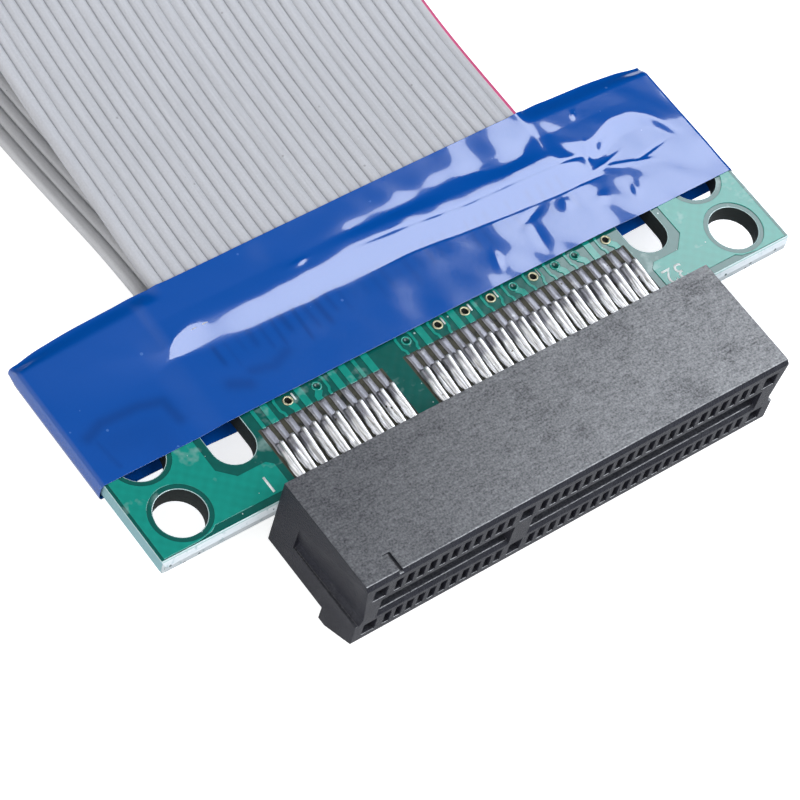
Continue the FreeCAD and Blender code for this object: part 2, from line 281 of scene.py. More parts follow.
def bump(height, distance):
    """The normal of a surface with a fine relief of that height in metres."""
    return after("ShaderNodeBump", {"Height": height, "Distance": distance, "Strength": 1.0}).outputs[0]


def bevel(piece, name, width, angle):
    """Rounds the edges of a piece that are sharper than an angle."""
    rounding = piece.modifiers.new(name, "BEVEL")
    rounding.width = width
    rounding.segments = 2
    rounding.limit_method = "ANGLE"
    rounding.angle_limit = angle


def soften(width, *nodes):
    """Breaks the sharp edges of solids of the frame, as the tool that makes them does."""
    for node in nodes:
        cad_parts[node].modifiers.new("weld", "WELD").merge_threshold = weld_reach
        bevel(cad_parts[node], "edge_break", width, edge_angle)


def dress(look, *nodes):
    """Gives solids of the frame their finish."""
    for node in nodes:
        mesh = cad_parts[node].data
        mesh.materials.clear()
        mesh.materials.append(look)


moulded, tree = surface("housing_plastic", {
    "Specular IOR Level": 0.24, "Coat Roughness": 0.32, "Coat IOR": 2.5})
moulded_bloom = use(tree, bloom, {
    "Color": plastic_black, "Bloom Color": plastic_bloom, "Patch Size": 2.4 * MM, "Share": 0.5})
moulded_specks = use(tree, specks, {
    "Color": moulded_bloom["Color"], "Fleck Color": plastic_fleck, "Spacing": 0.22 * MM, "Share": 0.12})
moulded_grain = use(tree, grain, {
    "Color": moulded_specks["Color"], "Grain Size": 0.16 * MM, "Contrast": 1.6})
moulded_top = calc("GREATER_THAN", split(tree, "Normal")["Z"], 0.8)
moulded_cloud = calc("MULTIPLY_ADD", moulded_bloom["Mask"], -0.3, -0.65)
moulded_rub = calc("ADD", clouds(tree, rub_scale, 2.0, 0.6, rub_drawn), moulded_cloud)
moulded_polish = calc("MULTIPLY_ADD", moulded_grain["Height"], 1.9, moulded_rub)
feed({
    "Base Color": moulded_grain["Color"],
    "Coat Weight": calc("MULTIPLY", moulded_top, moulded_polish),
    "Roughness": calc("MULTIPLY_ADD", moulded_grain["Height"], 0.3, 0.28),
    "Normal": bump(moulded_grain["Height"], plastic_relief)})
dress(moulded, "socket_housing")
soften(edge_break, "socket_housing")

# Contacts: stamped from bronze strip and tinned, pressed into the cells from the back. Their bumps stand
# in the slot, and their tails lie on the board's lands.
contact_break = 0.03 * MM
tin_grey = (0.7, 0.69, 0.68, 1)
tin_dull = (0.42, 0.41, 0.4, 1)
tin_relief = 0.008 * MM

tinned, tree = surface("contact_tin", {"Metallic": 1.0})
tinned_bloom = use(tree, bloom, {
    "Color": tin_grey, "Bloom Color": tin_dull, "Patch Size": 0.9 * MM, "Share": 0.45})
tinned_grain = use(tree, grain, {
    "Color": tinned_bloom["Color"], "Grain Size": 0.09 * MM, "Contrast": 0.35})
feed({
    "Base Color": tinned_grain["Color"],
    "Roughness": calc("MULTIPLY_ADD", tinned_bloom["Mask"], 0.2, 0.28),
    "Normal": bump(tinned_grain["Height"], tin_relief)})
dress(tinned, "upper_contacts", "lower_contacts")
soften(contact_break, "upper_contacts", "lower_contacts")

# Socket board: glass-cloth laminate under a green solder mask, with routed edges, drilled fixing holes and
# milled slots. The mask leaves a bare strip of laminate round the contact lands.
mask_green = (0.0035, 0.098, 0.082, 1)
bare_laminate = (0.05, 0.048, 0.033, 1)
edge_laminate = (0.9, 0.94, 0.96, 1)
edge_fibre = (0.58, 0.67, 0.72, 1)
# Teal tint of the edges. With the grey below it, it also paints the edges that face along X darker, a painted
# shade.
edge_teal_and_flank_shade = (0.25, 0.42, 0.45, 1)
flank_shade_grey = (0.28, 0.49, 0.53, 1)
# Painted highlight: a pale colour on the rounded, broken edges of the board, where they catch the light.
rim_highlight_pale = (0.45, 0.62, 0.62, 1)
edge_nick = (0.13, 0.18, 0.19, 1)
# Painted shade: the walls of the holes and slots are near black for the dark inside them. The darker of the
# two also makes the residue patches on the bare laminate.
wall_shade_and_residue_olive = (0.003, 0.006, 0.006, 1)
wall_fibre_shade = (0.012, 0.019, 0.019, 1)
flux_white = (0.42, 0.55, 0.53, 1)
cloth_pitch = 0.52 * MM
mask_relief = 0.006 * MM
fibre_scale = 900.0
fibre_drawn = (0.35, 0.35, 7.0)
board_break = 0.07 * MM
board_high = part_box("socket_board")[1]
land_openings = [(-17.05, -5.95, 10.0, 15.86), (-4.05, 17.05, 10.0, 15.86)]
flux_front, flux_rear = 12.8 * MM, 17.4 * MM
rim_x, rim_y = 27.95, 10.88


def within(value, low, high):
    """1 where a value lies between two limits."""
    return calc("MULTIPLY", calc("GREATER_THAN", value, low), calc("LESS_THAN", value, high))


def cloth_effect():
    """The weave of glass cloth, as a height."""
    group, given = effect("glass_cloth", ["Pitch"], ["Height"])
    axes = split(group, "Object")
    turn = calc("DIVIDE", math.pi, given["Pitch"])
    warp, weft = [calc("SINE", calc("MULTIPLY", axes[axis], turn)) for axis in "XY"]
    after("NodeGroupOutput", {"Height": calc("MULTIPLY", warp, weft)})
    return group


glass_cloth = cloth_effect()


def lacquer(tree, colour):
    """Green mask of a colour, with the cloth under it, dust and flux on it: its colour and its height."""
    cloth = use(tree, glass_cloth, {"Pitch": cloth_pitch})["Height"]
    mottled = use(tree, grain, {"Color": colour, "Grain Size": 0.8 * MM, "Contrast": 0.22})
    woven = tone(mottled["Color"], calc("MULTIPLY_ADD", cloth, 0.05, 1.0))
    haze = use(tree, bloom, {
        "Color": woven, "Bloom Color": flux_white, "Patch Size": 1.9 * MM, "Share": 0.36})["Mask"]
    near_lands = within(split(tree, "Object")["Y"], flux_front, flux_rear)
    haze = calc("MULTIPLY", calc("MULTIPLY", haze, near_lands), 0.55)
    hazy = mix(haze, woven, flux_white)
    dusty = use(tree, specks, {
        "Color": hazy, "Fleck Color": flux_white, "Spacing": 0.22 * MM, "Share": 0.012})
    return dusty["Color"], calc("MULTIPLY_ADD", cloth, 0.25, mottled["Height"])


def board_look(name, openings, outer_x, outer_y):
    """A board's finish: mask on its faces, bare laminate in the openings, fibre on its edges, painted shade
    in its holes and on its X-facing flanks, and a painted highlight on its broken edges.
    """
    look, tree = surface(name, {"Coat Roughness": 0.05, "Specular IOR Level": 0.4})
    axes, facing = split(tree, "Object"), split(tree, "Normal")
    upward = calc("ABSOLUTE", facing["Z"])
    side = calc("LESS_THAN", upward, 0.5)
    face, height = lacquer(tree, mask_green)
    bare = 0.0
    for left, right, front, rear in openings:
        in_x = within(axes["X"], left * MM, right * MM)
        in_y = within(axes["Y"], front * MM, rear * MM)
        bare = calc("ADD", bare, calc("MULTIPLY", in_x, in_y))
    residue = use(tree, bloom, {
        "Color": bare_laminate, "Bloom Color": wall_shade_and_residue_olive, "Patch Size": 0.6 * MM, "Share": 0.5})
    face = mix(bare, face, residue["Color"])
    fibre = clouds(tree, fibre_scale, 4.0, 0.7, fibre_drawn)
    rim = use(tree, bloom, {
        "Color": mix(fibre, edge_laminate, edge_fibre), "Bloom Color": edge_teal_and_flank_shade,
        "Patch Size": 0.7 * MM, "Share": 0.34})["Color"]
    # Painted shade: the edges that face along X get darker teal greys.
    shaded_flank = calc("GREATER_THAN", calc("ABSOLUTE", facing["X"]), 0.75)
    rim = mix(shaded_flank, rim, mix(fibre, flank_shade_grey, edge_teal_and_flank_shade))
    nicked = use(tree, specks, {
        "Color": rim, "Fleck Color": edge_nick, "Spacing": 0.42 * MM, "Share": 0.16})["Color"]
    level = calc("LESS_THAN", upward, 0.25)
    snapped = calc("MULTIPLY", level, calc("SUBTRACT", 1.0, shaded_flank))
    rim = tone(nicked, calc("MULTIPLY_ADD", snapped, -0.15, 1.0))
    # Walls of the holes and slots: fibre in near-black colours, a painted shade.
    wall_shade = mix(fibre, wall_shade_and_residue_olive, wall_fibre_shade)
    wide = calc("GREATER_THAN", calc("ABSOLUTE", axes["X"]), outer_x * MM)
    outer = calc("MAXIMUM", wide, calc("LESS_THAN", axes["Y"], outer_y * MM))
    # The broken edges are painted pale, a painted highlight.
    edge_highlight_share = within(upward, 0.55, 0.97)
    matt = calc("MAXIMUM", side, bare)
    relief = calc("MULTIPLY_ADD", calc("MULTIPLY", side, fibre), 6.0, height)
    feed({
        "Base Color": mix(edge_highlight_share, mix(side, face, mix(outer, wall_shade, rim)), rim_highlight_pale),
        "Roughness": calc("MULTIPLY_ADD", matt, 0.6, 0.15),
        "Coat Weight": calc("SUBTRACT", 1.0, matt),
        "Normal": bump(relief, mask_relief)})
    return look


dress(board_look("board_mask", land_openings, rim_x, rim_y), "socket_board")
soften(board_break, "socket_board")
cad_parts["socket_board"].modifiers["edge_break"].use_clamp_overlap = False

# Copper of the socket board, under the same mask and so a little proud and brighter: a ground pour round
# the fixing holes at each end, and a track from each land to the wire ends under the tape.
copper_green = (0.006, 0.262, 0.208, 1)
copper_thick = 0.055
copper_round = 0.035 * MM
copper_angle = math.radians(60)
face_level = board_high.z / MM
copper_level = face_level + copper_thick
pour_outline = [
    (-28.88, 22), (-28.88, 10.4), (-26, 10.4), (-24.7, 10.6), (-24.2, 10.9), (-17.62, 10.9),
    (-17.62, 13), (-18.1, 13.45), (-20.5, 13.45), (-21.65, 14.6), (-21.65, 22)]
hole_ring = 2.38
hole_sides = 64
fixing_holes = [(-25.75, 12.95), (-25.75, 18.2)]
contact_places = [-16.5 + i for i in range(11)] + [-3.5 + i for i in range(21)]
plated_vias = [-13.66, -0.01, 2.51, 4.96, 9.02, 16.09]
covered_vias = [-11.1, -2.95, 7.12, 11.14, 13.05]
via_row = 16.9
track_start, track_turn, track_end = 15.8, 16.15, 18.3
via_track, aside_track, broad_track, thin_track = 0.56, 0.24, 0.6, 0.3
via_reach, aside_reach, aside_step = 0.45, 0.95, 0.16


def mesh_piece(name, points, faces, *looks, unit=MM):
    """A smooth mesh object that rides with the cable."""
    mesh = bpy.data.meshes.new(name)
    mesh.from_pydata(np.array(points) * unit, [], faces)
    mesh.polygons.foreach_set("use_smooth", [True] * len(mesh.polygons))
    for look in looks:
        mesh.materials.append(look)
    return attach(place(name, mesh), "root")


def join(*parts):
    """Points and faces of several meshes as one."""
    points, faces = [], []
    for part_points, part_faces in parts:
        faces += [tuple(i + len(points) for i in face) for face in part_faces]
        points += [tuple(point) for point in part_points]
    return points, faces


def mirrored(points, faces):
    """The same mesh on the lower side of the board."""
    return [(x, y, -z) for x, y, z in points], [face[::-1] for face in faces]


def both_faces(kind, mesh):
    """A mesh for the board's upper face and its mirror image for the lower face, with their names."""
    return ("upper_" + kind, *mesh), ("lower_" + kind, *mirrored(*mesh))


def circle(x, y, radius, count):
    """Points round a circle, clockwise."""
    angles = [-2 * math.pi * i / count for i in range(count)]
    return [(x + radius * math.cos(a), y + radius * math.sin(a)) for a in angles]


def counterclockwise(outline):
    """An outline that runs counterclockwise."""
    area = sum(a[0] * b[1] - b[0] * a[1] for a, b in zip(outline, outline[1:] + outline[:1]))
    return outline if area > 0 else outline[::-1]


def plate(outline, holes, low, high):
    """Points and faces of a flat plate with an outer edge and holes, between two levels."""
    loops = [counterclockwise(outline)] + holes
    flat = [point for loop in loops for point in loop]
    count = len(flat)
    points = [(x, y, high) for x, y in flat] + [(x, y, low) for x, y in flat]
    faces = []
    for triangle in tessellate_polygon([[Vector((x, y, 0)) for x, y in loop] for loop in loops]):
        corners = [flat[i] for i in triangle]
        upper = tuple(triangle if counterclockwise(corners) == corners else triangle[::-1])
        faces += [upper, tuple(i + count for i in upper[::-1])]
    start = 0
    for loop in loops:
        for i in range(len(loop)):
            a, b = start + i, start + (i + 1) % len(loop)
            faces.append((a, a + count, b + count, b))
        start += len(loop)
    return points, faces


def strip(line, width):
    """Outline of a track of even width along a line of points that runs up the board."""
    left, right = [], []
    for i, (x, y) in enumerate(line):
        x0, y0 = line[max(i - 1, 0)]
        x1, y1 = line[min(i + 1, len(line) - 1)]
        reach = width / 2 / math.hypot(x1 - x0, y1 - y0)
        left.append((x - (y1 - y0) * reach, y + (x1 - x0) * reach))
        right.append((x + (y1 - y0) * reach, y - (x1 - x0) * reach))
    return right + left[::-1]


def tracks():
    """Tracks from the lands: broad ones that end in a via, and thin ones that step aside for it."""
    made = []
    for i, x in enumerate(contact_places):
        via = min(plated_vias + covered_vias, key=lambda spot: abs(spot - x))
        if abs(via - x) < via_reach:
            line = [(x, track_start), (x, track_turn), (via, via_row - 0.3)]
            width = via_track
        elif abs(via - x) < aside_reach:
            aside = x + math.copysign(aside_step, x - via)
            line = [(x, track_start), (x, track_turn), (aside, track_turn + 0.25), (aside, via_row + 0.4),
                    (x, via_row + 0.75), (x, track_end)]
            width = aside_track
        else:
            line = [(x, track_start), (x, track_end)]
            width = broad_track if i % 3 else thin_track
        made.append(plate(strip(line, width), [], face_level, copper_level))
    return made


copper, tree = surface("copper_mask", {
    "Roughness": 0.15, "Specular IOR Level": 0.4, "Coat Weight": 1.0, "Coat Roughness": 0.05})
copper_colour, copper_height = lacquer(tree, copper_green)
feed({"Base Color": copper_colour, "Normal": bump(copper_height, mask_relief)})
pours = [
    plate([(side * x, y) for x, y in pour_outline],
          [circle(side * x, y, hole_ring, hole_sides) for x, y in fixing_holes], face_level, copper_level)
    for side in (1, -1)]
for copper_name, points, faces in both_faces("copper", join(*pours, *tracks())):
    copper_piece = mesh_piece(copper_name, points, faces, copper)
    copper_piece.data.polygons.foreach_set("use_smooth", [False] * len(faces))
    bevel(copper_piece, "edge_round", copper_round, copper_angle)

# Vias: drilled and plated through. In some the mask is open, so the gilt ring shows round the hole, whose
# floor is painted near black, a painted shade for the dark inside;
# over the others the mask has sunk into the hole.
ring_gold = (0.62, 0.58, 0.4, 1)
# Painted shade: the floor in the bore of an open via is near black, for the dark inside the hole.
hole_shade_dark = (0.006, 0.007, 0.006, 1)
sunk_green = (0.002, 0.05, 0.042, 1)
ring_radius, bore_radius = 0.42, 0.27
ring_sides = 24
floor_reach = 0.36 * MM


def tube_faces(rings, ring_size):
    """Faces of a closed tube of rings of points, one ring after the other, with both ends closed."""
    faces = [tuple(range(ring_size))[::-1], tuple(range((rings - 1) * ring_size, rings * ring_size))]
    for ring in range(rings - 1):
        for i in range(ring_size):
            a, b = ring * ring_size + i, ring * ring_size + (i + 1) % ring_size
            faces.append((a, b, b + ring_size, a + ring_size))
    return faces


def via_ring(x, high, floor):
    """Points and faces of a rounded ring with a floor in its bore, turned about its middle."""
    profile = [
        (ring_radius, 0.0), (ring_radius - 0.01, high * 0.7), (ring_radius - 0.05, high),
        (bore_radius + 0.04, high), (bore_radius + 0.01, high * 0.8), (bore_radius, floor)]
    turns = [2 * math.pi * i / ring_sides for i in range(ring_sides)]
    points = [(x + r * math.cos(turn), via_row + r * math.sin(turn), face_level + z)
              for r, z in profile for turn in turns]
    return points, tube_faces(len(profile), ring_sides)


def grained_look(name, sockets, colour, grain_size, contrast):
    """A material of one grained colour, and the height of its grain."""
    look, tree = surface(name, sockets)
    fine = use(tree, grain, {"Color": colour, "Grain Size": grain_size * MM, "Contrast": contrast})
    feed({"Base Color": fine["Color"]})
    return look, fine["Height"]


def gilt_look(name, colour, grain_size, contrast, rough, relief):
    """Thin gold plate, uneven as the ground under it."""
    look, height = grained_look(name, {"Metallic": 1.0}, colour, grain_size, contrast)
    feed({
        "Roughness": calc("MULTIPLY_ADD", height, 0.25, rough),
        "Normal": bump(height, relief * MM)})
    return look


gilt = gilt_look("via_gilt", ring_gold, grain_size=0.08, contrast=0.5, rough=0.3, relief=0.01)
bore = grained_look(
    "via_bore_shade", {"Roughness": 0.6, "Specular IOR Level": 0.1}, hole_shade_dark, grain_size=0.06, contrast=0.6)[0]
sunk = grained_look(
    "via_sunk_mask", {"Roughness": 0.2, "Coat Weight": 0.45, "Coat Roughness": 0.05}, sunk_green,
    grain_size=0.1, contrast=0.6)[0]
for via_kind, via_places, via_high, via_floor, via_looks, via_slot in (
        ("vias", plated_vias, 0.08, 0.008, (gilt, bore), "finger_gold"),
        ("covered_vias", covered_vias, 0.075, 0.015, (copper, sunk), "board_green")):
    via_mesh = join(*[via_ring(x, via_high, via_floor) for x in via_places])
    for via_name, points, faces in both_faces(via_kind, via_mesh):
        via_piece = mesh_piece(via_name, points, faces, *via_looks)
        for face in via_piece.data.polygons:
            spread = max((via_piece.data.vertices[i].co.xy - face.center.xy).length for i in face.vertices)
            face.material_index = int(len(face.vertices) > 4 and spread < floor_reach)

# Print: white ink on the mask, a little worn. It has the numbers of the first and the last contact, which
# read from the cable's side, and a few plain bars beside the vias.
print_white = (0.8, 0.84, 0.83, 1)
print_worn = (0.42, 0.6, 0.56, 1)
print_thick = 0.012
print_size = 2.0
print_relief = 0.004 * MM
print_weld = 0.0005 * MM
numbers = [("1", -19.0), ("32", 18.9)]
number_row = 11.85
bars = [-13.1, 0.55, 3.05, 5.55, 9.6]
bar_low, bar_high, bar_width = 16.68, 17.32, 0.13


def meshed(curve):
    """The mesh that a curve or a text makes."""
    holder = bpy.data.objects.new(curve.name, curve)
    mesh = bpy.data.meshes.new_from_object(holder)
    bpy.data.objects.remove(holder)
    return mesh


def number_mesh(body, x):
    """Points and faces of a printed number that reads from the cable's side."""
    curve = bpy.data.curves.new("number", "FONT")
    curve.body = body
    curve.size = print_size
    curve.align_x, curve.align_y = "CENTER", "CENTER"
    curve.extrude = print_thick / 2
    mesh = meshed(curve)
    middle = Matrix.Translation((x, number_row, copper_level + print_thick / 2))
    mesh.transform(middle @ Matrix.Rotation(math.pi, 4, "Z"))
    return [tuple(v.co) for v in mesh.vertices], [tuple(face.vertices) for face in mesh.polygons]


ink, tree = surface("print_ink", {"Roughness": 0.55})
ink_bloom = use(tree, bloom, {
    "Color": print_white, "Bloom Color": print_worn, "Patch Size": 0.5 * MM, "Share": 0.4})
feed({"Base Color": ink_bloom["Color"], "Normal": bump(ink_bloom["Mask"], print_relief)})
bar_outlines = [strip([(x, bar_low), (x, bar_high)], bar_width) for x in bars]
ink_mesh = join(
    *[number_mesh(*number) for number in numbers],
    *[plate(outline, [], face_level, copper_level) for outline in bar_outlines])
ink_piece = mesh_piece("board_print", *ink_mesh, ink)
ink_piece.modifiers.new("weld", "WELD").merge_threshold = print_weld

# Solder joints: each land was tinned, and each tail was soldered to it by hand with a long iron stroke. A
# lobe of solder lies over the tail with the stroke's bright ridge along its right side, and a duller, lower
# skin covers the land behind it.
joint_stations = np.concatenate([
    [15.8, 15.76, 15.68], np.linspace(15.5, 14.65, 5), np.linspace(14.48, 13.96, 14),
    np.linspace(13.8, 10.6, 20), [10.45, 10.32]])
joint_across = 29
land_half = [
    (10.32, 0.22), (11, 0.25), (11.6, 0.37), (12.3, 0.39), (13.2, 0.34), (14.2, 0.31), (15.8, 0.31)]
land_height = [(10.32, 0.06), (13.4, 0.06), (14.3, 0.1), (15.3, 0.1), (15.68, 0.08), (15.8, 0.035)]
lobe_half = [(10.32, 0.21), (11.2, 0.24), (12.2, 0.31), (13.2, 0.26), (14, 0.22)]
lobe_height = [(10.32, 0.26), (11, 0.28), (13.2, 0.4), (14, 0.4)]
lobe_tip, lobe_nose, lobe_end = 14.27, 0.25, 13.2
# Each furrow has a place across the lobe, a drift along it, a width and a depth.
furrow_ranges = [(-0.8, 0.6), (-0.12, 0.12), (0.26, 0.45), (0.03, 0.08)]
furrow_count = 3
ridge_reach = np.concatenate([[0.004, 0.02, 0.05, 0.09, 0.14, 0.2], np.linspace(0.35, 3.95, 14)])
ridge_around = np.linspace(math.pi, 0, 13)
ridge_half = [(10.32, 0.1), (11.2, 0.13), (13, 0.175), (14.4, 0.18)]
ridge_height = [(10.32, 0.16), (11, 0.24), (12.6, 0.47), (14.4, 0.72)]
ridge_tip, ridge_nose, ridge_shift = 14.33, 0.2, 0.15
stroke_middle = 12
edge_height = 0.1
solder_bright = (0.95, 0.95, 0.96, 1)
solder_dull = (0.74, 0.73, 0.75, 1)
land_grey = (0.44, 0.44, 0.49, 1)
land_glint = (0.9, 0.9, 0.93, 1)
solder_dark = (0.16, 0.15, 0.13, 1)
solder_relief = 0.0012 * MM
streak_scale = 2600.0
streak_drawn = (1.0, 0.12, 1.0)


def drawn(spot, line):
    """The value at a spot of a line drawn through pairs of place and value."""
    return np.interp(spot, [at for at, value in line], [value for at, value in line])


def nose(reach, radius):
    """The share of its full width that a strip with a rounded tip has at a reach behind the tip."""
    return math.sqrt(1 - (1 - min(max(reach / radius, 0.0), 1.0)) ** 2)


def solder_joint(x, draw):
    """Points of one joint in rings along Y, each with its two lower corners last, and how dull they are."""
    lobe_at = draw.uniform(-0.09, -0.03)
    lobe_bright = lobe_end + draw.uniform(-0.6, 0.4)
    fill = draw.uniform(0.95, 1.15)
    lean = 0.1 + 0.008 * max(-x, 0.0)
    furrows = [[draw.uniform(low, high) for low, high in furrow_ranges] for i in range(furrow_count)]
    points, dull = [], []
    across = np.linspace(-1, 1, joint_across)
    for y in joint_stations:
        half = drawn(y, land_half) * (1 + 0.16 * noise.noise(Vector((x, y * 1.1, 2.0))))
        offset = across * half
        land = drawn(y, land_height) * np.sqrt(np.clip(1 - 0.92 * across ** 2, 0, 1))
        end_share = nose(lobe_tip - y, lobe_nose)
        lobe_share = (offset - lobe_at) / (drawn(y, lobe_half) * end_share + 0.001)
        lobe = fill * drawn(y, lobe_height) * end_share * np.clip(1 - np.abs(lobe_share) ** 3, 0, 1) ** 0.55
        for place_across, drift, width, depth in furrows:
            apart = lobe_share - place_across - drift * (y - stroke_middle)
            lobe -= depth * np.clip(lobe / 0.25, 0, 1) * np.exp(-(apart / width) ** 2)
        height = (land ** 8 + np.clip(lobe, 0, None) ** 8) ** (1 / 8)
        for shift, high in zip(offset, height):
            inner = min(high / edge_height, 1.0)
            ripple = 0.016 * noise.noise(Vector((shift * 4 + x, y * 1.3, 5.0))) * inner
            points.append((x + shift, y, face_level + high + ripple - lean * shift * inner))
            dull.append(min(max((y - lobe_bright) / 0.3, 0.15), 1.0))
        points += [(x + half, y, face_level), (x - half, y, face_level)]
        dull += [1.0, 1.0]
    return points, dull


def iron_ridge(x, draw):
    """Points of the ridge along one joint, in rings from its rounded tip to the housing; none are dull."""
    tip = ridge_tip + draw.uniform(-0.14, 0.12)
    shift = ridge_shift + draw.uniform(-0.03, 0.03)
    sway = draw.uniform(-0.02, 0.02)
    points = []
    for reach in ridge_reach:
        y = tip - reach
        share = nose(reach, ridge_nose)
        half, height = drawn(y, ridge_half) * share, drawn(y, ridge_height) * share
        middle = x + shift + sway * (y - stroke_middle) + 0.02 * noise.noise(Vector((x, y * 1.2, 7.0)))
        for turn in ridge_around:
            side = math.copysign(abs(math.cos(turn)) ** 0.55, math.cos(turn))
            high = 0.03 + height * abs(math.sin(turn)) ** 0.45 - 0.12 * half * side
            points.append((middle + half * side, y, face_level + high))
        points += [(middle + half, y, face_level), (middle - half, y, face_level)]
    return points, [0.0] * len(points)


def paint(piece, name, values):
    """Keeps a value at each point of a piece, for its material."""
    piece.data.attributes.new(name, "FLOAT", "POINT").data.foreach_set("value", values)


def painted(tree, name):
    """The value that a piece keeps under a name."""
    return add(tree, "ShaderNodeAttribute", {}, attribute_name=name).outputs["Fac"]


soldered, tree = surface("joint_solder", {"Metallic": 1.0})
soldered_land = painted(tree, "land")
soldered_bloom = use(tree, bloom, {
    "Color": mix(soldered_land, solder_bright, land_grey),
    "Bloom Color": mix(soldered_land, solder_dull, land_glint), "Patch Size": 1.1 * MM, "Share": 0.3})
soldered_specks = use(tree, specks, {
    "Color": soldered_bloom["Color"], "Fleck Color": solder_dark, "Spacing": 0.3 * MM, "Share": 0.035})
soldered_rough = calc("MULTIPLY_ADD", soldered_land, 0.08, 0.33)
feed({
    "Base Color": soldered_specks["Color"],
    "Roughness": calc("MULTIPLY_ADD", soldered_bloom["Mask"], 0.06, soldered_rough),
    "Normal": bump(clouds(tree, streak_scale, 1.0, 0.4, streak_drawn), solder_relief)})
joint_faces = [face[::-1] for face in tube_faces(len(joint_stations), joint_across + 2)]
ridge_faces = [face[::-1] for face in tube_faces(len(ridge_reach), len(ridge_around) + 2)]
for joint_side, joint_seed in (("upper", 21), ("lower", 22)):
    joint_draw = np.random.default_rng(joint_seed)
    joints = [(*solder_joint(x, joint_draw), joint_faces) for x in contact_places]
    joints += [(*iron_ridge(x, joint_draw), ridge_faces) for x in contact_places]
    joint_mesh = join(*[(points, faces) for points, dull, faces in joints])
    if joint_side == "lower":
        joint_mesh = mirrored(*joint_mesh)
    joint_piece = mesh_piece(joint_side + "_joints", *joint_mesh, soldered)
    paint(joint_piece, "land", [share for points, dull, faces in joints for share in dull])
    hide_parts(joint_side + "_pads", joint_side + "_solder")

# Wire ends: the stripped and tinned cores of the ribbons' wires, soldered side by side to both boards.
# The tape covers them.
dress(tinned, "upper_wire_ends", "lower_wire_ends", "upper_plug_wire_ends", "lower_plug_wire_ends")

# Ribbon cables: two flat cables of grey vinyl wires, moulded side by side with thin webs between them.
# The upper one rises off the board in an arch and carries a pink marker along its right edge; the lower
# one runs down to the table. Both end under the tape of the plug board.
wire_count = 34
wire_sides = (0.95, 0.84, 0.7, 0.45)
wire_fall = 0.55
groove_floor = (0.3, 0.58)
wire_wander = 0.03 * MM
marker_width = 0.4 * MM
ribbon_grey = (0.5, 0.505, 0.535, 1)
# Painted light: the lower ribbon is the same vinyl, painted a lighter grey to make up for the upper ribbon's
# shadow on it.
lower_painted_light_grey = (0.595, 0.6, 0.62, 1)
# Painted shade: the grooves between the wires are painted darker than the wires.
groove_shade_grey = (0.16, 0.165, 0.18, 1)
dust_grey = (0.33, 0.33, 0.35, 1)
marker_pink = (0.62, 0.075, 0.21, 1)
twist_start, twist_top, twist_end = 29.0 * MM, 40.0 * MM, 75.0 * MM
vinyl_relief = 0.016 * MM
vinyl_scale = 5000.0
vinyl_drawn = (1.0, 0.04, 0.04)
plug_low, plug_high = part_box("plug_board")
plug_level = (plug_low.z + plug_high.z) / 2
free_span = plug_low.y - board_high.y
ribbon_low, ribbon_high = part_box("upper_ribbon")
ribbon_half, ribbon_start, ribbon_end = ribbon_high.x, ribbon_low.y, ribbon_high.y
ribbon_thick = 0.9 * MM
ribbon_seat = board_high.z + ribbon_thick / 2
ribbon_lying = cad_box[0].z + 0.5 * MM
ribbon_stacked = ribbon_lying + ribbon_thick
# Each row of a route has a level, and pairs of a share of the free span between the two boards and a rise
# over that level in mm.
upper_route = [
    (ribbon_seat, [
        (0.035, 0), (0.09, 1.25), (0.145, 3.85), (0.205, 5.25), (0.27, 4.65), (0.34, 2.15), (0.415, -0.85)]),
    (ribbon_stacked, [(0.5, 1.4), (0.6, 0.4), (0.71, 0.45), (0.81, 0.8), (0.89, 1.3)]),
    (plug_level + ribbon_seat, [(0.96, 0)])]
lower_route = [
    (-ribbon_seat, [(0.025, 0)]),
    (ribbon_lying, [
        (0.07, 1.6), (0.12, 0.4), (0.18, 0), (0.28, 0), (0.46, 0.15), (0.66, 0.05), (0.81, 0.1)]),
    (plug_level - ribbon_seat, [(0.92, 0)])]


def smooth_line(route):
    """Points of the smooth spline whose control points are the route's, from one cut end to the other."""
    spots = [(ribbon_start, route[0][0])]
    spots += [(board_high.y + share * free_span, level + rise * MM)
              for level, rows in route for share, rise in rows]
    spots.append((ribbon_end, route[-1][0]))
    curve = bpy.data.curves.new("ribbon_route", "CURVE")
    curve.dimensions = "3D"
    spline = curve.splines.new("NURBS")
    spline.points.add(len(spots) - 1)
    for point, (y, z) in zip(spline.points, spots):
        point.co = (0, y, z, 1)
    spline.order_u = 3
    spline.use_endpoint_u = True
    spline.resolution_u = 10
    return [vertex.co.copy() for vertex in meshed(curve).vertices]


def ribbon_section(draw):
    """Closed end view of a ribbon as rows of X, height share and share of painted groove shade, left edge
    first.
    """
    pitch = 2 * ribbon_half / wire_count
    floors = draw.uniform(*groove_floor, wire_count + 1)
    faces = []
    for sides in (wire_sides, wire_sides[::2]):
        shares = [-side for side in sides] + [0.0] + list(sides[::-1])
        face = []
        for wire in range(wire_count):
            middle = -ribbon_half + (wire + 0.5) * pitch
            if wire:
                face.append((middle - pitch / 2, floors[wire], 1.3 - floors[wire]))
            face += [(middle + share * pitch / 2, 1 - wire_fall * share ** 4, 0.0) for share in shares]
        faces.append(face)
    lower = [(x, -height, groove) for x, height, groove in faces[1][::-1]]
    return [(-ribbon_half, 0.0, 0.0)] + faces[0] + [(ribbon_half, 0.0, 0.0)] + lower


